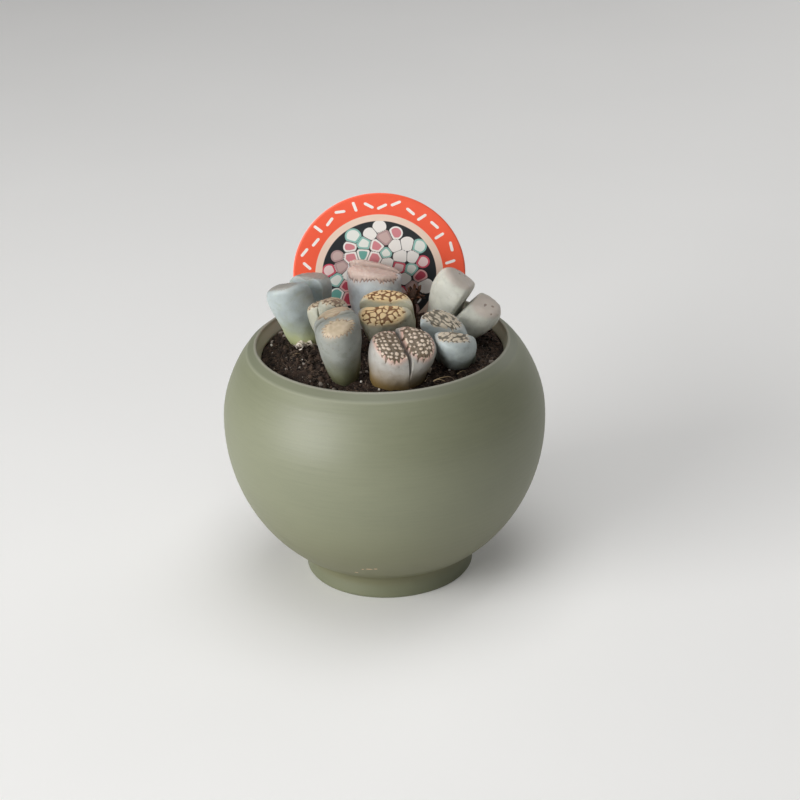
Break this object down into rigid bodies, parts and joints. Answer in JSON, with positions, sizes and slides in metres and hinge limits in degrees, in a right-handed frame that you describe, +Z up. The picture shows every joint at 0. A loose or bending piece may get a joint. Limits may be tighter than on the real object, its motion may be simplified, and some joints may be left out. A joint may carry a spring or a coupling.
{
  "type": "potted lithops",
  "caption": "Round-bellied ceramic pot on a low foot, filled with soil and a cluster of split-topped lithops heads, with a round plant label standing behind them.",
  "frame": {"origin": "centre of the pot's foot on the surface that it stands on", "axes": "+Z up along the pot's axis; -Y is the front, the label stands behind the plants towards +Y"},
  "size_m": [0.12, 0.12, 0.1387],
  "materials": {
    "pot_glaze": "satin sage green glaze with faint level turning lines, lighter and bluer on the foot",
    "soil": "damp dark brown peat with fibres, bark crumbs and white perlite grains",
    "label_plastic": null,
    "dried_leaf": "papery dried petals and leaf skins, dark brown to pale straw",
    "lithops_blue_grey": "smooth waxy leaf skin, blue-grey with a yellow-green foot",
    "lithops_beige": "waxy leaf skin, grey-green with fine dots and a beige window with a dark toothed edge",
    "lithops_ochre": "waxy leaf skin, khaki sides and an ochre top with a network of brown lines",
    "lithops_brown": "waxy leaf skin, grey-lilac sides and a dark brown window with cream islands",
    "lithops_grey": "waxy leaf skin, pale grey with a faint brown marbled top"
  },
  "bodies": {
    "root": {"pot": "pot_glaze", "soil": "soil", "label": "label_plastic", "dried_flower": "dried_leaf", "lithops_back_left": "lithops_blue_grey", "lithops_right": "lithops_blue_grey", "lithops_front_left": "lithops_beige", "lithops_small": "lithops_beige", "lithops_centre": "lithops_ochre", "lithops_front": "lithops_brown", "lithops_back": "lithops_grey", "lithops_back_right": "lithops_grey"}
  },
  "joints": []
}
